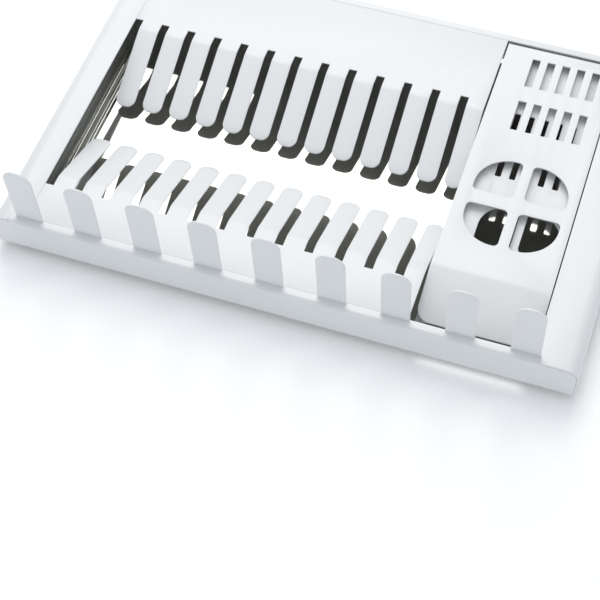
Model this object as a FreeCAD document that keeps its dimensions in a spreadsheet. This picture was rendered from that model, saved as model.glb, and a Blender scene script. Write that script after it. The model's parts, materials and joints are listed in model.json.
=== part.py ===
import FreeCAD, Part
import Sketcher
import os
import re

from FreeCAD import Vector

# Drying rack of folded sheet steel: a low frame with two facing combs for plates, a row of
# upright hooks along the front for bottles and glasses, a lift-out utensil holder on the
# right and a shallow drip tray that slides out under the rear skirt.
# X runs along the hooks, Y from front to rear, Z up. Millimetres. The origin is the middle
# of the footprint, on the worktop.

doc = FreeCAD.newDocument("DryingRack")

sizes = {
    # frame
    "body_width": 450.0,
    "body_depth": 300.0,
    "skirt_height": 29.0,
    "ground_gap": 8.0,
    "sheet_gauge": 1.2,
    "bend_radius": 10.0,
    "fit_gap": 0.1,
    "lip_depth": 7.0,
    "lip_inset": 13.0,
    "lip_inset_right": 29.2,
    "left_flange": 26.1,
    # combs
    "comb_count": 13.0,
    "comb_pitch": 23.1,
    "comb_trim": 2.4,
    "comb_slot": 6.6,
    "comb_root": 41.4,
    "comb_flat": 9.9,
    "comb_run": 61.0,
    "comb_drop": 23.2,
    "rear_drop": 26.5,
    "comb_bend": 8.0,
    "comb_tip_share": 0.394,
    "trough_gap": 40.7,
    # hooks
    "hook_count": 9.0,
    "hook_pitch": 47.6,
    "hook_width": 21.6,
    "hook_height": 58.3,
    "hook_lean": 4.2,
    "hook_first": 29.1,
    "hook_radius": 10.0,
    "hook_block": 21.0,
    # utensil holder
    "bay_width": 90.9,
    "bay_margin": 1.5,
    "holder_gap": 0.9,
    "holder_clear": 0.2,
    "holder_front": 20.0,
    "holder_bend": 60.0,
    "ramp_drop": 17.0,
    "holder_rear": 9.0,
    "holder_corner": 10.0,
    "window_shift": 1.2,
    "window_middle": 130.0,
    "window_width": 32.0,
    "window_length": 35.0,
    "window_bar": 8.0,
    "window_rib": 12.6,
    "window_arc": 27.0,
    "window_corner": 4.0,
    "slot_rows": 2.0,
    "slot_count": 5.0,
    "slot_width": 6.4,
    "slot_length": 30.6,
    "slot_pitch": 12.2,
    "slot_shift": 5.2,
    "slot_row": 202.0,
    "slot_row_pitch": 46.5,
    "grid_gauge": 1.0,
    "grid_flange": 7.0,
    "grid_drop": 7.0,
    "grid_shift": 2.2,
    "grid_slot_width": 4.8,
    "grid_slot_length": 66.0,
    "grid_slot_pitch": 11.2,
    "grid_slot_round": 1.0,
    "grid_slot_middle": 192.0,
    "port_shift": 8.5,
    "port_middle": 113.0,
    "port_width": 28.0,
    "port_length": 40.0,
    "port_bar": 6.0,
    "port_arc": 22.0,
    "port_corner": 5.0,
    "rail_level": 10.0,
    "rail_ledge": 8.0,
    "rail_height": 20.0,
    "rail_margin": 0.5,
    "rivet_rows": 3.0,
    "rivet_pitch": 68.0,
    "rivet_radius": 1.6,
    "rivet_head": 2.8,
    "rivet_crown": 0.5,
    # drip tray
    "tray_side": 25.0,
    "tray_end": 5.0,
    "tray_gauge": 0.8,
    "tray_lift": 1.8,
    "tray_height": 5.4,
    "tray_rim": 4.0,
    "tray_corner": 9.0,
    "pad_radius": 7.0,
    "pad_inset": 26.0,
    # feet, brackets, guides and gussets
    "foot_radius": 8.0,
    "foot_height": 12.0,
    "foot_round": 1.3,
    "foot_inset": 13.5,
    "foot_setback": 30.0,
    "bracket_gauge": 1.5,
    "bracket_width": 20.0,
    "bracket_height": 16.0,
    "bracket_clear": 0.1,
    "screw_radius": 2.0,
    "screw_head_radius": 4.0,
    "screw_head_height": 1.8,
    "screw_bite": 7.0,
    "guide_gap": 1.0,
    "guide_bottom": 4.5,
    "guide_setback": 15.0,
    "gusset_leg": 10.0,
    "gusset_height": 16.0,
    "gusset_lift": 3.0,
}

sheet = doc.addObject("Spreadsheet::Sheet", "sizes")
for row, (alias, value) in enumerate(sizes.items(), start=1):
    sheet.set("A%d" % row, alias)
    sheet.set("B%d" % row, str(value))
    sheet.setAlias("B%d" % row, alias)
doc.recompute()

TOP = "(ground_gap + skirt_height)"
UNDERSIDE = "(ground_gap + skirt_height - sheet_gauge)"
FRONT = "(-body_depth / 2)"
REAR = "(body_depth / 2)"
LEFT = "(-body_width / 2)"
COMB_LEFT = "(-body_width / 2 + left_flange)"
COMB_WIDTH = "(comb_count * comb_pitch - comb_trim)"
HOLDER_LEFT = "(%s + %s + bay_margin)" % (COMB_LEFT, COMB_WIDTH)
BAY_RIGHT = "(%s + bay_width)" % HOLDER_LEFT
HOLDER_RIGHT = "(%s - holder_gap)" % BAY_RIGHT
HOLDER_MIDDLE = "((%s + %s) / 2)" % (HOLDER_LEFT, HOLDER_RIGHT)
HOLDER_BACK = "(body_depth / 2 - holder_rear)"
HOLDER_CREST = "(-body_depth / 2 + holder_bend)"
WALL_FRONT = "(-body_depth / 2 + holder_bend + 2 * sheet_gauge)"
RAIL_TOP = "(rail_level + sheet_gauge)"
HOLDER_FOOT = "(rail_level + sheet_gauge + holder_clear)"
GRID_TOP = "(ground_gap + skirt_height - grid_drop)"
GRID_LEFT = "(%s + sheet_gauge + fit_gap)" % HOLDER_LEFT
GRID_RIGHT = "(%s - sheet_gauge - fit_gap)" % HOLDER_RIGHT
GRID_BACK = "(%s - sheet_gauge - fit_gap)" % HOLDER_BACK
TRAY_X = "(body_width / 2 - tray_side)"
TRAY_Y = "(body_depth / 2 - tray_end)"
ENDS = (("front", -1), ("rear", 1))
HANDS = (("left", -1), ("right", 1))


def bound(text):
    """An expression with every size name pointed at the sheet."""
    return re.sub(r"\b([a-z]+(?:_[a-z]+)+)\b", r"sizes.\1", text)


def settle(feature):
    """Recompute and stop at once if the feature came out failed or empty."""
    doc.recompute()
    if "Invalid" in feature.State or feature.Shape.isNull() or not feature.Shape.isValid():
        raise RuntimeError(feature.Label + " failed")
    return feature


def newBody(label):
    body = doc.addObject("PartDesign::Body", label)
    body.Label = label
    return body


def sketchOn(body, role, level="0"):
    """A sketch on one of the body's own planes, moved along its normal."""
    plane = [f for f in body.Origin.OriginFeatures if f.Role == role][0]
    sketch = body.newObject("Sketcher::SketchObject", body.Label + "Sketch")
    sketch.AttachmentSupport = [(plane, "")]
    sketch.MapMode = "FlatFace"
    sketch.setExpression("AttachmentOffset.Base.z", bound(level))
    return sketch


def outline(sketch, corners):
    """A closed polygon whose every corner is tied to the sheet."""
    first = sketch.GeometryCount
    count = len(corners)
    for i in range(count):
        start = Vector(i + 1, (i * i) % 7, 0)
        end = Vector((i + 1) % count + 1, ((i + 1) % count) ** 2 % 7, 0)
        sketch.addGeometry(Part.LineSegment(start, end), False)
    for i in range(count):
        following = first + (i + 1) % count
        sketch.addConstraint(Sketcher.Constraint("Coincident", first + i, 2, following, 1))
    for i, corner in enumerate(corners):
        for kind, text in zip(("DistanceX", "DistanceY"), corner):
            index = sketch.addConstraint(Sketcher.Constraint(kind, -1, 1, first + i, 1, 1.0 + i))
            sketch.setExpression("Constraints[%d]" % index, bound(text))


def rectangle(sketch, left, front, right, back):
    outline(sketch, [(left, front), (right, front), (right, back), (left, back)])


def disc(sketch, across, along, radius):
    """A circle whose centre and radius are tied to the sheet."""
    index = sketch.addGeometry(Part.Circle(Vector(1, 1, 0), Vector(0, 0, 1), 1.0), False)
    for kind, text in (("DistanceX", across), ("DistanceY", along)):
        place = sketch.addConstraint(Sketcher.Constraint(kind, -1, 1, index, 3, 1.0))
        sketch.setExpression("Constraints[%d]" % place, bound(text))
    size = sketch.addConstraint(Sketcher.Constraint("Radius", index, 1.0))
    sketch.setExpression("Constraints[%d]" % size, bound(radius))


def pad(body, sketch, length, reverse=False):
    feature = body.newObject("PartDesign::Pad", body.Label + "Pad")
    feature.Profile = sketch
    feature.setExpression("Length", bound(length))
    feature.Reversed = reverse
    body.Tip = feature
    return settle(feature)


def cutThrough(body, sketch, upwards=False):
    """Cut the sketch right through the body, both ways or only upwards, and make sure that
    it removed something."""
    before = body.Shape.Volume
    feature = body.newObject("PartDesign::Pocket", body.Label + "Pocket")
    feature.Profile = sketch
    feature.Type = "ThroughAll"
    if upwards:
        feature.Reversed = True
    else:
        feature.SideType = "Two sides"
        feature.Type2 = "ThroughAll"
    body.Tip = feature
    settle(feature)
    if body.Shape.Volume >= before:
        raise RuntimeError(body.Label + ": the cut removed nothing")


def roundEdges(body, choose, radius):
    """Fillet every edge of the body that choose() accepts."""
    names = []
    base = body.Tip
    for number, edge in enumerate(body.Shape.Edges, start=1):
        if choose(edge):
            names.append("Edge%d" % number)
    feature = body.newObject("PartDesign::Fillet", body.Label + "Fillet")
    feature.Base = (base, names)
    feature.setExpression("Radius", bound(radius))
    body.Tip = feature
    return settle(feature)


def along(edge, axis):
    """True for a straight edge that runs along the axis (0, 1 or 2)."""
    if edge.Curve.TypeId != "Part::GeomLine":
        return False
    step = edge.Vertexes[-1].Point - edge.Vertexes[0].Point
    return abs(abs(step[axis]) - step.Length) < 1e-6


def middle(edge):
    box = edge.BoundBox
    return Vector(box.Center)


def value(text):
    """What an expression comes to with the sizes in the sheet."""
    return float(sheet.evalExpression(bound(text)))


def near(first, second):
    return abs(first - second) < 0.01


def fold(axis, across, place, level):
    """A chooser of the edges that run along one axis at a place across it and a height."""
    position, height = value(place), value(level)
    return lambda e: (along(e, axis) and near(middle(e)[across], position)
                      and near(middle(e).z, height))


def combine(kind, label, *pieces):
    """A boolean of several objects, as one object with the given label."""
    feature = doc.addObject(kind, label)
    feature.Label = label
    if kind == "Part::Cut":
        feature.Base, feature.Tool = pieces
    else:
        feature.Shapes = list(pieces)
    return settle(feature)


def box(label, width, depth, height, x, y, z):
    feature = doc.addObject("Part::Box", label)
    feature.Label = label
    feature.setExpression("Length", bound(width))
    feature.setExpression("Width", bound(depth))
    feature.setExpression("Height", bound(height))
    for axis, text in zip("xyz", (x, y, z)):
        feature.setExpression("Placement.Base." + axis, bound(text))
    return feature


def cylinder(label, radius, height, x, y, z):
    feature = doc.addObject("Part::Cylinder", label)
    feature.setExpression("Radius", bound(radius))
    feature.setExpression("Height", bound(height))
    for axis, text in zip("xyz", (x, y, z)):
        feature.setExpression("Placement.Base." + axis, bound(text))
    return feature


def roundedBox(blank, choose, radius):
    """A fillet of the box edges that choose() accepts."""
    doc.recompute()
    feature = doc.addObject("Part::Fillet", blank.Label + "Rounded")
    feature.Base = blank
    size = value(radius)
    edges = enumerate(blank.Shape.Edges, start=1)
    feature.Edges = [(number, size, size) for number, edge in edges if choose(edge)]
    return settle(feature)


def sidePanel(label, hand, flange, inset):
    """One side of the frame: a wall, a bend along its top and a flange reaching inwards.

    Both ends of the flange are notched, so that the lips of the skirts lie level with it.
    """
    body = newBody(label)
    sketch = sketchOn(body, "XZ_Plane", "-body_depth / 2")
    outer = "(%d * body_width / 2)" % hand
    inner = "(%d * (body_width / 2 - sheet_gauge))" % hand
    reach = "(%d * (body_width / 2 - %s))" % (hand, flange)
    outline(sketch, [(outer, "ground_gap"), (outer, TOP), (reach, TOP), (reach, UNDERSIDE),
                     (inner, UNDERSIDE), (inner, "ground_gap")])
    pad(body, sketch, "body_depth")
    roundEdges(body, fold(1, 0, inner, UNDERSIDE), "bend_radius - sheet_gauge")
    roundEdges(body, fold(1, 0, outer, TOP), "bend_radius")
    notch = sketchOn(body, "XY_Plane", TOP)
    limit = "(%d * (body_width / 2 - %s))" % (hand, inset)
    for front, back in ((FRONT, "(-body_depth / 2 + lip_depth + fit_gap)"),
                        ("(body_depth / 2 - lip_depth - fit_gap)", REAR)):
        rectangle(notch, limit, front, reach, back)
    cutThrough(body, notch)


sidePanel("left_side_panel", -1, "left_flange", "lip_inset")
sidePanel("right_side_panel", 1, "(body_width / 2 - %s)" % BAY_RIGHT, "lip_inset_right")


def combDeck(label, facing, drop):
    """A deck with its comb in one sheet: flat strips that bend down towards the trough.

    facing is 1 for the front deck, whose strips reach rearwards, and -1 for the rear one.
    """
    if facing > 0:
        edge, root = "(-body_depth / 2 + lip_depth + fit_gap)", "(-body_depth / 2 + comb_root)"
    else:
        edge = "(body_depth / 2 - lip_depth - fit_gap)"
        root = "(-body_depth / 2 + comb_root + 2 * comb_flat + 2 * comb_run + trough_gap)"
    bend = "(%s + %d * comb_flat)" % (root, facing)
    tip = "(%s + %d * (comb_flat + comb_run))" % (root, facing)
    slant = "(sheet_gauge * sqrt(1 + (%s / comb_run) ^ 2))" % drop

    bent = newBody(label + "_sheet")
    profile = sketchOn(bent, "YZ_Plane", COMB_LEFT)
    outline(profile, [(edge, TOP), (bend, TOP), (tip, "%s - %s" % (TOP, drop)),
                      (tip, "%s - %s - %s" % (TOP, drop, slant)), (bend, UNDERSIDE),
                      (edge, UNDERSIDE)])
    pad(bent, profile, COMB_WIDTH)
    roundEdges(bent, fold(0, 1, bend, UNDERSIDE), "comb_bend")
    roundEdges(bent, fold(0, 1, bend, TOP), "comb_bend + sheet_gauge")

    level = "ground_gap"
    cutters = [box(label + "_flange", COMB_WIDTH, "(%d * (%s - %s))" % (facing, root, edge),
                   "skirt_height", COMB_LEFT, edge if facing > 0 else root, level)]
    tip_y = value(tip)
    last = int(sizes["comb_count"]) - 1
    for strip in range(last + 1):
        left = "%s + comb_slot + %d * comb_pitch" % (COMB_LEFT, strip)
        width = "comb_pitch - comb_slot" + (" - comb_trim" if strip == last else "")
        blank = box("%s_strip%d" % (label, strip + 1), width, "comb_flat + comb_run",
                    "skirt_height", left, root if facing > 0 else tip, level)
        cutters.append(roundedBox(blank, lambda e: along(e, 2) and near(middle(e).y, tip_y),
                                  "comb_tip_share * (comb_pitch - comb_slot)"))
    plan = combine("Part::MultiFuse", label + "_plan", *cutters)
    combine("Part::MultiCommon", label, bent, plan)


combDeck("front_comb_deck", 1, "comb_drop")
combDeck("rear_comb_deck", -1, "rear_drop")


def skirtPanel(label, facing):
    """The two bodies of a skirt: its face with the lip turned in at the top, and the same
    face carried out behind the bends of the side panels."""
    body = newBody(label)
    face = "(%d * body_depth / 2)" % facing
    back = "(%d * (body_depth / 2 - sheet_gauge))" % facing
    reach = "(%d * (body_depth / 2 - lip_depth))" % facing
    profile = sketchOn(body, "YZ_Plane", LEFT + " + lip_inset + fit_gap")
    outline(profile, [(face, "ground_gap"), (face, TOP), (reach, TOP), (reach, UNDERSIDE),
                      (back, UNDERSIDE), (back, "ground_gap")])
    pad(body, profile, "body_width - lip_inset - lip_inset_right - 2 * fit_gap")
    roundEdges(body, fold(0, 1, back, UNDERSIDE), "sheet_gauge")
    roundEdges(body, fold(0, 1, face, TOP), "2 * sheet_gauge")

    ends = newBody(label + "_ends")
    half = "(body_width / 2 - sheet_gauge - fit_gap)"
    crown = "(%s - fit_gap)" % UNDERSIDE
    plate = sketchOn(ends, "XZ_Plane", "-%s" % (face if facing < 0 else back))
    rectangle(plate, "-" + half, "ground_gap", half, crown)
    pad(ends, plate, "sheet_gauge", reverse=True)
    crown_z = value(crown)
    roundEdges(ends, lambda e: along(e, 1) and near(middle(e).z, crown_z),
               "bend_radius - sheet_gauge")
    return body, ends


def hookRow():
    """The hooks: one leaning sheet, kept where the rounded outline of each hook stands."""
    leaning = newBody("hook_sheet")
    root = "(-body_depth / 2 + lip_depth)"
    crown = "(%s + hook_height)" % TOP
    profile = sketchOn(leaning, "YZ_Plane", LEFT)
    outline(profile, [(root, UNDERSIDE), (root + " - hook_lean", crown),
                      (root + " - hook_lean - sheet_gauge", crown),
                      (root + " - sheet_gauge", UNDERSIDE)])
    pad(leaning, profile, "body_width")
    crown_z = value(crown)
    blanks = []
    for hook in range(int(sizes["hook_count"])):
        centre = "%s + hook_first + %d * hook_pitch" % (LEFT, hook)
        blank = box("hook_blank%d" % (hook + 1), "hook_width", "hook_block",
                    "hook_height + sheet_gauge", centre + " - hook_width / 2",
                    FRONT + " - lip_depth", UNDERSIDE)
        blanks.append(roundedBox(blank, lambda e: along(e, 1) and near(middle(e).z, crown_z),
                                 "hook_radius"))
    plan = combine("Part::MultiFuse", "hook_plan", *blanks)
    return combine("Part::MultiCommon", "hook_row", leaning, plan)


combine("Part::MultiFuse", "rear_skirt_panel", *skirtPanel("rear_fold", 1))
combine("Part::MultiFuse", "front_hook_panel", *skirtPanel("front_fold", -1), hookRow())


def opening(body, level, left, right, front, back, rounds):
    """A rectangular opening cut upright; rounds gives each (x, y) corner its radius."""
    sketch = sketchOn(body, "XY_Plane", level)
    rectangle(sketch, left, front, right, back)
    cutThrough(body, sketch)
    for (x, y), radius in rounds:
        across, depth = value(x), value(y)
        roundEdges(body, lambda e: along(e, 2) and near(middle(e).x, across)
                   and near(middle(e).y, depth), radius)


def utensilCover():
    """The lift-out holder's cover: a front ramp, a top with windows and knife slots, a back
    and two walls, with the front corners of the ramp rounded."""
    cover = newBody("cover_sheet")
    rise = "(sheet_gauge * sqrt(1 + (ramp_drop / (holder_bend - holder_front)) ^ 2))"
    foot = "(-body_depth / 2 + holder_front)"
    back = "(%s - sheet_gauge)" % HOLDER_BACK
    profile = sketchOn(cover, "YZ_Plane", HOLDER_LEFT)
    outline(profile, [(foot, TOP + " - ramp_drop"), (HOLDER_CREST, TOP), (HOLDER_BACK, TOP),
                      (HOLDER_BACK, HOLDER_FOOT), (back, HOLDER_FOOT), (back, UNDERSIDE),
                      (HOLDER_CREST, UNDERSIDE), (foot, "%s - ramp_drop - %s" % (TOP, rise))])
    pad(cover, profile, "%s - %s" % (HOLDER_RIGHT, HOLDER_LEFT))
    roundEdges(cover, fold(0, 1, HOLDER_CREST, TOP), "comb_bend + sheet_gauge")
    roundEdges(cover, fold(0, 1, HOLDER_BACK, TOP), "2 * sheet_gauge")
    for level in (HOLDER_LEFT, HOLDER_RIGHT + " - sheet_gauge"):
        wall = sketchOn(cover, "YZ_Plane", level)
        rectangle(wall, WALL_FRONT, HOLDER_FOOT, HOLDER_BACK + " - sheet_gauge / 2",
                  UNDERSIDE + " + sheet_gauge / 2")
        pad(cover, wall, "sheet_gauge")

    for side in (-1, 1):
        for end in (-1, 1):
            near_x = "%s + window_shift + %d * window_bar / 2" % (HOLDER_MIDDLE, side)
            far_x = "%s + %d * window_width" % (near_x, side)
            near_y = "%s + window_middle + %d * window_rib / 2" % (FRONT, end)
            far_y = "%s + %d * window_length" % (near_y, end)
            opening(cover, TOP, near_x, far_x, near_y, far_y,
                    [((far_x, far_y), "window_arc"), ((near_x, near_y), "window_corner"),
                     ((far_x, near_y), "window_corner"), ((near_x, far_y), "window_corner")])
    slots = sketchOn(cover, "XY_Plane", TOP)
    for row in range(int(sizes["slot_rows"])):
        for slot in range(int(sizes["slot_count"])):
            across = "%s + slot_shift + (%d - (slot_count - 1) / 2) * slot_pitch" \
                % (HOLDER_MIDDLE, slot)
            start = "%s + slot_row + %d * slot_row_pitch" % (FRONT, row)
            rectangle(slots, across + " - slot_width / 2", start, across + " + slot_width / 2",
                      start + " + slot_length")
    cutThrough(cover, slots)

    blank = box("cover_blank", "%s - %s" % (HOLDER_RIGHT, HOLDER_LEFT),
                "%s - %s" % (HOLDER_BACK, foot), "skirt_height", HOLDER_LEFT, foot, "ground_gap")
    foot_y = value(foot)
    plan = roundedBox(blank, lambda e: along(e, 2) and near(middle(e).y, foot_y),
                      "holder_corner")
    combine("Part::MultiCommon", "utensil_cover", cover, plan)


def utensilGrid():
    """A second sheet close under the cover: a channel with its flanges down, one row of long
    slots behind and two round-cornered ports in front."""
    grid = newBody("utensil_grid")
    flange = "(%s - grid_flange)" % GRID_TOP
    under = "(%s - grid_gauge)" % GRID_TOP
    channel = sketchOn(grid, "XZ_Plane", "-%s" % GRID_BACK)
    outline(channel, [(GRID_LEFT, flange), (GRID_LEFT, GRID_TOP), (GRID_RIGHT, GRID_TOP),
                      (GRID_RIGHT, flange), (GRID_RIGHT + " - grid_gauge", flange),
                      (GRID_RIGHT + " - grid_gauge", under), (GRID_LEFT + " + grid_gauge", under),
                      (GRID_LEFT + " + grid_gauge", flange)])
    pad(grid, channel, "%s - %s" % (GRID_BACK, WALL_FRONT))
    middle_y = "(%s + grid_slot_middle)" % FRONT
    for slot in range(int(sizes["slot_count"])):
        across = "(%s + grid_shift + (%d - (slot_count - 1) / 2) * grid_slot_pitch)" \
            % (HOLDER_MIDDLE, slot)
        cut = sketchOn(grid, "XY_Plane", GRID_TOP)
        rectangle(cut, across + " - grid_slot_width / 2", middle_y + " - grid_slot_length / 2",
                  across + " + grid_slot_width / 2", middle_y + " + grid_slot_length / 2")
        cutThrough(grid, cut)
    ends = [value("%s + %d * grid_slot_length / 2" % (middle_y, end)) for end in (-1, 1)]
    roundEdges(grid, lambda e: along(e, 2) and any(near(middle(e).y, y) for y in ends),
               "grid_slot_round")
    for side in (-1, 1):
        near_x = "%s + port_shift + %d * port_bar / 2" % (HOLDER_MIDDLE, side)
        far_x = "%s + %d * port_width" % (near_x, side)
        front = "%s + port_middle - port_length / 2" % FRONT
        back = "%s + port_length" % front
        opening(grid, GRID_TOP, near_x, far_x, front, back,
                [((far_x, back), "port_arc"), ((far_x, front), "port_corner"),
                 ((near_x, front), "port_corner"), ((near_x, back), "port_corner")])


def gridRivets():
    """Rivets: a head outside each wall, a shank through wall and flange, a closing head."""
    height = "%s - grid_gauge / 2 - grid_flange / 2" % GRID_TOP
    stack = "(sheet_gauge + fit_gap + grid_gauge)"
    parts = []
    for row in range(int(sizes["rivet_rows"])):
        place = "(%s + %s) / 2 + (%d - (rivet_rows - 1) / 2) * rivet_pitch" \
            % (WALL_FRONT, GRID_BACK, row)
        for side, face in ((-1, HOLDER_LEFT), (1, HOLDER_RIGHT)):
            for name, radius, start, length in (
                    ("head", "rivet_head", "-rivet_crown", "rivet_crown"),
                    ("shank", "rivet_radius", "-rivet_crown / 2", stack + " + rivet_crown"),
                    ("tail", "rivet_radius + rivet_crown", stack, "rivet_crown")):
                piece = cylinder("rivet_%s_%d" % (name, row), radius, length,
                                 "%s - %d * (%s)" % (face, side, start), place, height)
                piece.Placement.Rotation = FreeCAD.Rotation(Vector(0, 0, 1), Vector(-side, 0, 0))
                parts.append(piece)
    combine("Part::MultiFuse", "grid_rivets", *parts)


def holderRail(label, corners):
    """A rail welded between the front and rear skirts, with the given section."""
    rail = newBody(label)
    half = "(body_depth / 2 - sheet_gauge)"
    section = sketchOn(rail, "XZ_Plane", "-" + half)
    outline(section, corners)
    pad(rail, section, "2 * " + half)


utensilCover()
utensilGrid()
gridRivets()
bar_left = "(%s - rail_margin)" % HOLDER_LEFT
bar_right = "(%s + rail_ledge)" % bar_left
holderRail("holder_rail_left", [(bar_left, "rail_level"), (bar_right, "rail_level"),
                                (bar_right, RAIL_TOP), (bar_left, RAIL_TOP)])
wall_out = "(%s + sheet_gauge)" % BAY_RIGHT
ledge_in = "(%s - rail_ledge)" % wall_out
holderRail("holder_rail_right", [(wall_out, "rail_level"), (ledge_in, "rail_level"),
                                 (ledge_in, RAIL_TOP), (BAY_RIGHT, RAIL_TOP),
                                 (BAY_RIGHT, "rail_level + rail_height"),
                                 (wall_out, "rail_level + rail_height")])


def dripTray():
    """A shallow pan with a rolled-out rim."""
    tray = newBody("tray_blank")
    pan_x, pan_y = "(%s - tray_rim)" % TRAY_X, "(%s - tray_rim)" % TRAY_Y
    well_x, well_y = "(%s - tray_gauge)" % pan_x, "(%s - tray_gauge)" % pan_y
    pan = sketchOn(tray, "XY_Plane", "tray_lift")
    rectangle(pan, "-" + pan_x, "-" + pan_y, pan_x, pan_y)
    pad(tray, pan, "tray_height")
    rim = sketchOn(tray, "XY_Plane", "tray_lift + tray_height - tray_gauge")
    rectangle(rim, "-" + TRAY_X, "-" + TRAY_Y, TRAY_X, TRAY_Y)
    pad(tray, rim, "tray_gauge")
    roundEdges(tray, lambda e: along(e, 2), "tray_corner")
    base = value("tray_lift")
    roundEdges(tray, lambda e: near(e.BoundBox.ZMax, base), "2 * tray_gauge")
    well = box("tray_well", "2 * " + well_x, "2 * " + well_y, "tray_height", "-" + well_x,
               "-" + well_y, "tray_lift + tray_gauge")
    hollow = roundedBox(well, lambda e: along(e, 2), "tray_corner - tray_gauge")
    combine("Part::Cut", "drip_tray", tray, hollow)


def footPlace(hand, end):
    return ("(%d * (body_width / 2 - foot_inset))" % hand,
            "(%d * (body_depth / 2 - foot_setback))" % end)


def trayPad(label, hand, end):
    cushion = newBody(label)
    ring = sketchOn(cushion, "XY_Plane")
    disc(ring, "%d * (%s - pad_inset)" % (hand, TRAY_X),
         "%d * (%s - pad_inset)" % (end, TRAY_Y), "pad_radius")
    pad(cushion, ring, "tray_lift")


def rubberFoot(label, hand, end):
    """A round foot with a blind bore for its screw."""
    x, y = footPlace(hand, end)
    peg = newBody(label)
    ring = sketchOn(peg, "XY_Plane")
    disc(ring, x, y, "foot_radius")
    pad(peg, ring, "foot_height")
    roundEdges(peg, lambda e: near(e.BoundBox.ZMax, 0), "foot_round")
    bore = sketchOn(peg, "XY_Plane", "foot_height - screw_bite - fit_gap")
    disc(bore, x, y, "screw_radius")
    cutThrough(peg, bore, upwards=True)


def footBracket(label, hand, end):
    """An angle welded to the side wall, standing on the foot."""
    x, y = footPlace(hand, end)
    bracket = newBody(label)
    wall = "(%d * (body_width / 2 - sheet_gauge))" % hand
    inner = "(%s - %d * bracket_gauge)" % (wall, hand)
    reach = "(%d * (%s + guide_gap + sheet_gauge + bracket_clear))" % (hand, TRAY_X)
    section = sketchOn(bracket, "XZ_Plane", "-(%s + bracket_width / 2)" % y)
    outline(section, [(wall, "foot_height"), (wall, "foot_height + bracket_height"),
                      (inner, "foot_height + bracket_height"),
                      (inner, "foot_height + bracket_gauge"),
                      (reach, "foot_height + bracket_gauge"), (reach, "foot_height")])
    pad(bracket, section, "bracket_width")
    eye = sketchOn(bracket, "XY_Plane", "foot_height")
    disc(eye, x, y, "screw_radius")
    cutThrough(bracket, eye)


def footScrew(corner, hand, end):
    """The two cylinders of a screw: a shank up through the foot and the bracket, and a head."""
    x, y = footPlace(hand, end)
    shank = cylinder("screw_shank_" + corner, "screw_radius", "screw_bite + bracket_gauge",
                     x, y, "foot_height - screw_bite")
    head = cylinder("screw_head_" + corner, "screw_head_radius", "screw_head_height",
                    x, y, "foot_height + bracket_gauge")
    return [shank, head]


def cornerGusset(label, hand, end):
    """A small angle welded upright into the corner of a side wall and a skirt."""
    gusset = newBody(label)
    wall = "(%d * (body_width / 2 - sheet_gauge))" % hand
    panel = "(%d * (body_depth / 2 - sheet_gauge))" % end
    inner_x, inner_y = "%s - %d * sheet_gauge" % (wall, hand), \
        "%s - %d * sheet_gauge" % (panel, end)
    leg_x, leg_y = "%s - %d * gusset_leg" % (wall, hand), "%s - %d * gusset_leg" % (panel, end)
    section = sketchOn(gusset, "XY_Plane", "ground_gap + gusset_lift")
    outline(section, [(wall, panel), (leg_x, panel), (leg_x, inner_y), (inner_x, inner_y),
                      (inner_x, leg_y), (wall, leg_y)])
    pad(gusset, section, "gusset_height")


def trayGuide(label, hand):
    """An angle between the brackets of one side: its shelf lies on them, with a hole round
    each screw head, and its leg hangs down beside the tray."""
    guide = newBody(label)
    edge = "(%d * (body_width / 2 - sheet_gauge - bracket_gauge))" % hand
    inner = "(%d * (%s + guide_gap))" % (hand, TRAY_X)
    outer = "(%s + %d * sheet_gauge)" % (inner, hand)
    shelf = "(foot_height + bracket_gauge)"
    section = sketchOn(guide, "XZ_Plane", "-(body_depth / 2 - guide_setback)")
    outline(section, [(inner, "guide_bottom"), (inner, shelf + " + sheet_gauge"),
                      (edge, shelf + " + sheet_gauge"), (edge, shelf), (outer, shelf),
                      (outer, "guide_bottom")])
    pad(guide, section, "body_depth - 2 * guide_setback")
    holes = sketchOn(guide, "XY_Plane", shelf)
    for name, end in ENDS:
        x, y = footPlace(hand, end)
        disc(holes, x, y, "screw_head_radius + guide_gap")
    cutThrough(guide, holes)


dripTray()
screws = []
for end_name, end in ENDS:
    for hand_name, hand in HANDS:
        corner = "%s_%s" % (end_name, hand_name)
        trayPad("tray_pad_" + corner, hand, end)
        rubberFoot("rubber_foot_" + corner, hand, end)
        footBracket("foot_bracket_" + corner, hand, end)
        cornerGusset("corner_gusset_" + corner, hand, end)
        screws += footScrew(corner, hand, end)
combine("Part::MultiFuse", "foot_screws", *screws)
for hand_name, hand in HANDS:
    trayGuide("tray_guide_" + hand_name, hand)


# Every named piece is checked and written; helpers and tools are left out.
pieces = ["left_side_panel", "right_side_panel", "front_comb_deck", "rear_comb_deck",
          "front_hook_panel", "rear_skirt_panel", "utensil_cover", "utensil_grid", "grid_rivets",
          "holder_rail_left", "holder_rail_right", "drip_tray", "foot_screws",
          "tray_guide_left", "tray_guide_right"]
for kind in ("tray_pad_", "rubber_foot_", "foot_bracket_", "corner_gusset_"):
    pieces += [kind + corner for corner in
               ("front_left", "front_right", "rear_left", "rear_right")]

doc.recompute()
failed = [o.Label for o in doc.Objects if "Invalid" in o.State or "Error" in o.State]
if failed:
    raise RuntimeError("failed objects: " + ", ".join(failed))
os.makedirs("parts", exist_ok=True)
for label in pieces:
    shape = doc.getObjectsByLabel(label)[0].Shape
    if shape.isNull() or not shape.isValid() or not shape.Solids:
        raise RuntimeError(label + " has no sound solid")
    shape.exportStep("parts/%s.step" % label)
    print("%-28s %3d solid(s) %10.0f mm3" % (label, len(shape.Solids), shape.Volume))
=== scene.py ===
import json
import math

import bpy
from mathutils import Matrix, Vector


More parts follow.
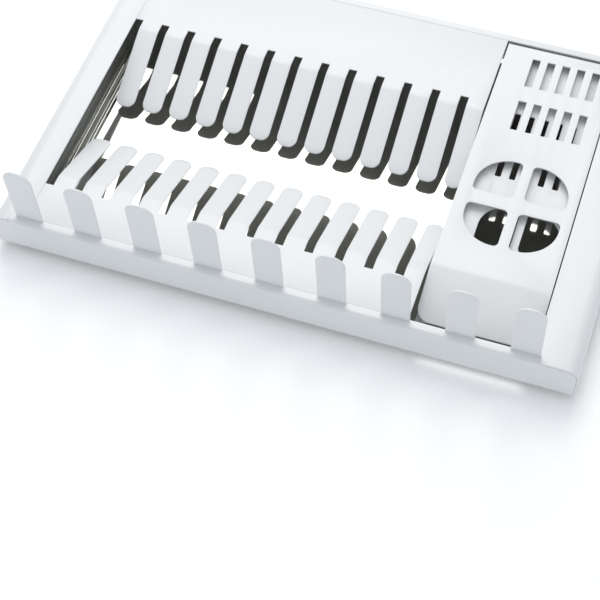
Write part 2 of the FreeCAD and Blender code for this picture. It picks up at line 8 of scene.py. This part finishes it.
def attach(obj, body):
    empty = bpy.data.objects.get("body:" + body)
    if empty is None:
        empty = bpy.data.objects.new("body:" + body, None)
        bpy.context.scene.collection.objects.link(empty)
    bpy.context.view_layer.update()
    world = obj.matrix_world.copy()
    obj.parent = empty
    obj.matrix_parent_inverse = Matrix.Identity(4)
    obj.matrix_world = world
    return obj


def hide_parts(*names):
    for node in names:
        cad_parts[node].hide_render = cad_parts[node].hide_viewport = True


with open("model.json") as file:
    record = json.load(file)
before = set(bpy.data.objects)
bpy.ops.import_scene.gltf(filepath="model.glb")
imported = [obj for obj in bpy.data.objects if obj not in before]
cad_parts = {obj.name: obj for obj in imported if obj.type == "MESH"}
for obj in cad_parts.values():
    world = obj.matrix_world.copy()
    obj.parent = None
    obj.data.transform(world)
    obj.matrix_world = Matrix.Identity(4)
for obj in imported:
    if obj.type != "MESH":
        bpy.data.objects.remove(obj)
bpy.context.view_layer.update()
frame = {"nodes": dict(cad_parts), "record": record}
nodes = frame["nodes"]
print("frame loaded:", len(nodes), "nodes")

corners = {"front_left": (-1, -1), "front_right": (1, -1),
           "rear_left": (-1, 1), "rear_right": (1, 1)}

camera = {
    "place": (0.2349, -0.7302, 0.9413),
    "right": (0.94667, 0.32168, -0.01857),
    "up": (-0.25580, 0.78532, 0.56377),
    "back": (0.19593, -0.52896, 0.82572),
    "lens": 91.37, "sensor": 36, "clipEnd": 50,
}
lens = bpy.data.cameras.new("camera")
lens.lens = camera["lens"]
lens.sensor_width = camera["sensor"]
lens.clip_end = camera["clipEnd"]
eye = bpy.data.objects.new("camera", lens)
bpy.context.collection.objects.link(eye)
turn = Matrix((camera["right"], camera["up"], camera["back"])).transposed().to_4x4()
eye.matrix_world = Matrix.Translation(camera["place"]) @ turn
bpy.context.scene.camera = eye
bpy.context.scene.view_settings.view_transform = "Standard"

studio = {
    "floorSize": 6.0,
    "sky": (0.90, 0.95, 1.0), "skyStrength": 0.60,
    "softboxes": (
        ("rear softbox", (-0.4, 1.08, 1.68), 1.5, 20.0, (1.0, 0.985, 0.96)),
        ("top softbox", (0.1, 0.1, 1.9), 1.6, 5.0, (1.0, 0.99, 0.98)),
        ("side fill", (-1.5, -1.2, 1.3), 1.2, 2.0, (0.93, 0.96, 1.0)),
    ),
}


def addSoftbox(name, place, size, power, colour):
    data = bpy.data.lights.new(name, "AREA")
    data.shape = "SQUARE"
    data.size = size
    data.energy = power
    data.color = colour
    light = bpy.data.objects.new(name, data)
    bpy.context.collection.objects.link(light)
    light.location = place
    light.rotation_euler = Vector(place).to_track_quat("Z", "Y").to_euler()
    light.visible_camera = False


for softbox in studio["softboxes"]:
    addSoftbox(*softbox)
world = bpy.data.worlds.new("studio")
bpy.context.scene.world = world
world.use_nodes = True
world.node_tree.nodes["Background"].inputs["Color"].default_value = (*studio["sky"], 1)
world.node_tree.nodes["Background"].inputs["Strength"].default_value = studio["skyStrength"]
print("camera and light set")


class Wire:
    def __init__(self, graph, socket):
        self.graph = graph
        self.socket = socket

    def maths(self, operation, first, second):
        return self.graph.add("Math", {"operation": operation}, {0: first, 1: second})

    def __add__(self, other):
        return self.maths("ADD", self, other)

    def __radd__(self, other):
        return self.maths("ADD", other, self)

    def __rmul__(self, other):
        return self.maths("MULTIPLY", other, self)


class Graph:
    def __init__(self, name):
        self.material = bpy.data.materials.new(name)
        self.material.use_nodes = True
        self.tree = self.material.node_tree
        self.shader = self.tree.nodes["Principled BSDF"]
        self.place = self.add("TexCoord", {}, {}, "Object")

    def add(self, kind, settings, inputs, output=0):
        node = self.tree.nodes.new("ShaderNode" + kind)
        for name, value in settings.items():
            setattr(node, name, value)
        for name, value in inputs.items():
            self.feed(node.inputs[name], value)
        return Wire(self, node.outputs[output])

    def feed(self, socket, value):
        if isinstance(value, Wire):
            self.tree.links.new(value.socket, socket)
        elif isinstance(value, tuple) and socket.type == "RGBA":
            socket.default_value = (*value, 1)
        else:
            socket.default_value = value

    def noise(self, scale, detail=2.0, rough=0.5, place=None):
        return self.add("TexNoise", {}, {"Vector": place or self.place, "Scale": scale,
                                         "Detail": detail, "Roughness": rough}, "Fac")

    def stretched(self, scale):
        return self.add("Mapping", {}, {"Vector": self.place, "Scale": scale}, "Vector")

    def blend(self, factor, first, second):
        return self.add("Mix", {"data_type": "RGBA"}, {0: factor, 6: first, 7: second}, 2)

    def bump(self, height, strength, distance):
        return self.add("Bump", {}, {"Height": height, "Strength": strength,
                                     "Distance": distance}, "Normal")

    def finish(self, **sockets):
        for name, value in sockets.items():
            self.feed(self.shader.inputs[name.replace("_", " ")], value)
        return self.material


def powderCoat():
    g = Graph("white powder coat")
    cloud = g.noise(7.0, 3.0, 0.55)
    peel = g.noise(620.0, 2.0, 0.45)
    grain = g.noise(2400.0, 1.0, 0.5)
    colour = g.blend(cloud, (0.765, 0.775, 0.785), (0.825, 0.832, 0.836))
    return g.finish(Base_Color=colour, Roughness=0.36 + 0.10 * peel + 0.06 * cloud,
                    Normal=g.bump(0.7 * peel + 0.3 * grain, 0.16, 0.0004),
                    IOR=1.48, Coat_Weight=0.12, Coat_Roughness=0.22)


def brightSteel():
    g = Graph("polished tray steel")
    smear = g.noise(11.0, 4.0, 0.6)
    lines = g.noise(140.0, 2.0, 0.5, g.stretched((1.0, 26.0, 26.0)))
    colour = g.blend(smear, (0.50, 0.50, 0.465), (0.57, 0.57, 0.54))
    return g.finish(Base_Color=colour, Metallic=1.0,
                    Roughness=0.03 + 0.04 * smear + 0.015 * lines,
                    Normal=g.bump(lines, 0.03, 0.0001))


def fastenerSteel():
    g = Graph("stainless fasteners")
    scratch = g.noise(900.0, 3.0, 0.6)
    tone = g.noise(60.0, 2.0, 0.5)
    colour = g.blend(tone, (0.50, 0.50, 0.50), (0.66, 0.655, 0.65))
    return g.finish(Base_Color=colour, Metallic=1.0, Roughness=0.26 + 0.16 * scratch,
                    Normal=g.bump(scratch, 0.08, 0.0002))


def footRubber():
    g = Graph("grey foot rubber")
    bloom = g.noise(90.0, 3.0, 0.6)
    pores = g.noise(1500.0, 2.0, 0.6)
    colour = g.blend(bloom, (0.075, 0.078, 0.082), (0.125, 0.128, 0.130))
    return g.finish(Base_Color=colour, Roughness=0.62 + 0.2 * pores,
                    Normal=g.bump(pores, 0.25, 0.0003))


def padSilicone():
    g = Graph("translucent silicone")
    haze = g.noise(120.0, 2.0, 0.5)
    colour = g.blend(haze, (0.60, 0.63, 0.65), (0.74, 0.76, 0.77))
    return g.finish(Base_Color=colour, Roughness=0.34 + 0.14 * haze,
                    Normal=g.bump(haze, 0.1, 0.0003), Subsurface_Weight=0.25)


def studioFloor():
    g = Graph("pale studio floor")
    mottle = g.noise(3.0, 2.0, 0.5)
    colour = g.blend(mottle, (0.955, 0.965, 0.975), (0.975, 0.98, 0.985))
    return g.finish(Base_Color=colour, Roughness=0.7, Emission_Color=(1.0, 1.0, 1.0),
                    Emission_Strength=0.10)


finishes = {
    "white_powder_coat": powderCoat(),
    "polished_tray": brightSteel(),
    "stainless_fasteners": fastenerSteel(),
    "grey_rubber": footRubber(),
    "clear_silicone": padSilicone(),
}
slotOf = {entry["node"]: entry["material_slot"] for entry in frame["record"]["subparts"]}
bodyOf = {node: body for body, members in frame["record"]["behaviour"]["bodies"].items()
          for node in members}
for name, node in nodes.items():
    for held in node.material_slots:
        held.material = finishes[slotOf[name]]
print("materials made")


def takeUp(piece):
    bpy.ops.object.select_all(action="DESELECT")
    piece.select_set(True)
    bpy.context.view_layer.objects.active = piece


def standFor(piece, node):
    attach(piece, bodyOf[node])
    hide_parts(node)


cleanUp = {"mergeWithin": 0.000004, "flatWithin": 0.6}


def softened(node, edge):
    # the CAD sheet itself, with its cut edges rounded over
    piece = nodes[node].copy()
    piece.data = nodes[node].data.copy()
    piece.name = node + "_softened"
    piece.parent = None
    bpy.context.collection.objects.link(piece)
    takeUp(piece)
    bpy.ops.object.mode_set(mode="EDIT")
    bpy.ops.mesh.select_all(action="SELECT")
    bpy.ops.mesh.remove_doubles(threshold=cleanUp["mergeWithin"])
    bpy.ops.mesh.dissolve_limited(angle_limit=math.radians(cleanUp["flatWithin"]))
    bpy.ops.object.mode_set(mode="OBJECT")
    bevel = piece.modifiers.new("soft edge", "BEVEL")
    bevel.width = edge["width"]
    bevel.segments = edge["segments"]
    bevel.angle_limit = math.radians(edge["angle"])
    bpy.ops.object.modifier_apply(modifier=bevel.name)
    bpy.ops.object.mode_set(mode="EDIT")
    bpy.ops.mesh.select_all(action="SELECT")
    bpy.ops.mesh.quads_convert_to_tris()
    bpy.ops.object.mode_set(mode="OBJECT")
    bpy.ops.object.shade_smooth_by_angle(angle=math.radians(edge["angle"]))
    standFor(piece, node)
    print("softened", node, len(piece.data.polygons), "faces")


coated = {"width": 0.00042, "segments": 2, "angle": 32.0}
hookEdge = {"width": 0.00054, "segments": 3, "angle": 32.0}
thinEdge = {"width": 0.00028, "segments": 2, "angle": 32.0}
softened("front_hook_panel", hookEdge)
for node in ("left_side_panel", "right_side_panel", "front_comb_deck", "rear_comb_deck",
             "rear_skirt_panel", "utensil_cover", "holder_rail_left", "holder_rail_right"):
    softened(node, coated)
for node in ("utensil_grid", "drip_tray", "tray_guide_left", "tray_guide_right"):
    softened(node, thinEdge)
for corner in corners:
    softened("foot_bracket_" + corner, coated)
    softened("corner_gusset_" + corner, coated)


def turned(rings, sides):
    # a round piece built up ring by ring from its first face, radii and heights in mm
    bpy.ops.object.select_all(action="DESELECT")
    radius, height = rings[0]
    bpy.ops.mesh.primitive_circle_add(vertices=sides, radius=radius / 1000, fill_type="NGON",
                                      location=(0, 0, height / 1000))
    piece = bpy.context.object
    bpy.ops.object.transform_apply(location=True, rotation=False, scale=False)
    bpy.ops.object.mode_set(mode="EDIT")
    for nextRadius, nextHeight in rings[1:]:
        rise = (nextHeight - height) / 1000
        bpy.ops.mesh.extrude_region_move(TRANSFORM_OT_translate={"value": (0, 0, rise)})
        grow = nextRadius / radius
        bpy.ops.transform.resize(value=(grow, grow, 1), center_override=(0, 0, 0))
        radius, height = nextRadius, nextHeight
    bpy.ops.mesh.select_all(action="SELECT")
    bpy.ops.mesh.normals_make_consistent(inside=False)
    bpy.ops.object.mode_set(mode="OBJECT")
    return piece


smoothBelow = math.radians(38)  # sharper corners than this stay creased


def settle(piece, place, tilt=(0, 0, 0)):
    takeUp(piece)
    piece.rotation_euler = tilt
    piece.location = place
    bpy.ops.object.transform_apply(location=True, rotation=True, scale=True)
    bpy.ops.object.shade_smooth_by_angle(angle=smoothBelow)


def gather(pieces, name):
    bpy.ops.object.select_all(action="DESELECT")
    for piece in pieces:
        piece.select_set(True)
    bpy.context.view_layer.objects.active = pieces[0]
    bpy.ops.object.join()
    pieces[0].name = name
    return pieces[0]


foot = {
    "sides": 72, "x": 0.2115, "y": 0.120,
    "rings": ((2.6, 0.7), (4.4, 0.7), (4.9, 0.0), (6.5, 0.0), (7.3, 0.3), (7.8, 0.8),
              (8.0, 1.5), (8.0, 3.4), (7.6, 3.7), (7.6, 4.3), (8.0, 4.6), (8.0, 6.4),
              (7.6, 6.7), (7.6, 7.3), (8.0, 7.6), (8.0, 11.2), (7.8, 11.7), (7.3, 12.0),
              (2.1, 12.0), (2.1, 5.0), (1.2, 4.7)),
}
for corner, (hand, end) in corners.items():
    peg = turned(foot["rings"], foot["sides"])
    settle(peg, (hand * foot["x"], end * foot["y"], 0))
    peg.name = "ribbed_foot_" + corner
    standFor(peg, "rubber_foot_" + corner)
print("ribbed feet turned")

cushion = {
    "sides": 64, "x": 0.174, "y": 0.119,
    "rings": ((2.4, 0.5), (4.0, 0.5), (4.4, 0.0), (6.1, 0.0), (6.7, 0.25), (7.0, 0.7),
              (7.0, 1.3), (6.8, 1.65), (6.4, 1.8)),
}
for corner, (hand, end) in corners.items():
    pad = turned(cushion["rings"], cushion["sides"])
    settle(pad, (hand * cushion["x"], end * cushion["y"], 0))
    pad.name = "cupped_pad_" + corner
    standFor(pad, "tray_pad_" + corner)
print("cupped pads turned")

screw = {
    "sides": 36,
    "rings": ((1.3, 5.0), (1.9, 5.5), (2.0, 6.0), (2.0, 13.5), (3.9, 13.5), (4.0, 13.6),
              (4.0, 14.4), (3.7, 14.9), (3.1, 15.2), (2.4, 15.3), (1.75, 15.3), (1.7, 14.5),
              (0.9, 14.3)),
    "driveLevel": 0.0145, "within": 0.00001, "lobes": 6, "lobe": 0.74, "lobeShare": 0.3,
}


def lobeDrive(piece):
    # the recess is drawn inwards between its lobes
    for vertex in piece.data.vertices:
        share = math.atan2(vertex.co.y, vertex.co.x) * screw["lobes"] / math.tau
        vertex.select = (abs(vertex.co.z - screw["driveLevel"]) < screw["within"]
                         and abs(share - round(share)) > screw["lobeShare"])
    bpy.ops.object.mode_set(mode="EDIT")
    bpy.ops.transform.resize(value=(screw["lobe"], screw["lobe"], 1), center_override=(0, 0, 0))
    bpy.ops.object.mode_set(mode="OBJECT")


driven = []
for hand, end in corners.values():
    one = turned(screw["rings"], screw["sides"])
    lobeDrive(one)
    settle(one, (hand * foot["x"], end * foot["y"], 0))
    driven.append(one)
standFor(gather(driven, "recessed_foot_screws"), "foot_screws")
print("foot screws turned")

rivet = {
    "sides": 32, "faces": ((0.1005, 1), (0.1905, -1)), "rows": (-0.04195, 0.02605, 0.09405),
    "level": 0.026,
    "rings": ((0.8, -0.5), (1.8, -0.43), (2.5, -0.25), (2.8, 0.0), (1.6, 0.02), (1.6, 2.3),
              (2.1, 2.3), (2.1, 2.5), (1.7, 2.72), (0.9, 2.8)),
}
headed = []
for x, inward in rivet["faces"]:
    for y in rivet["rows"]:
        one = turned(rivet["rings"], rivet["sides"])
        settle(one, (x, y, rivet["level"]), (0, inward * math.pi / 2, 0))
        headed.append(one)
standFor(gather(headed, "domed_grid_rivets"), "grid_rivets")
print("grid rivets turned")

bpy.ops.object.select_all(action="DESELECT")
bpy.ops.mesh.primitive_plane_add(size=studio["floorSize"], location=(0, 0, 0))
floor = bpy.context.object
floor.name = "studio_floor"
floor.data.materials.append(studioFloor())
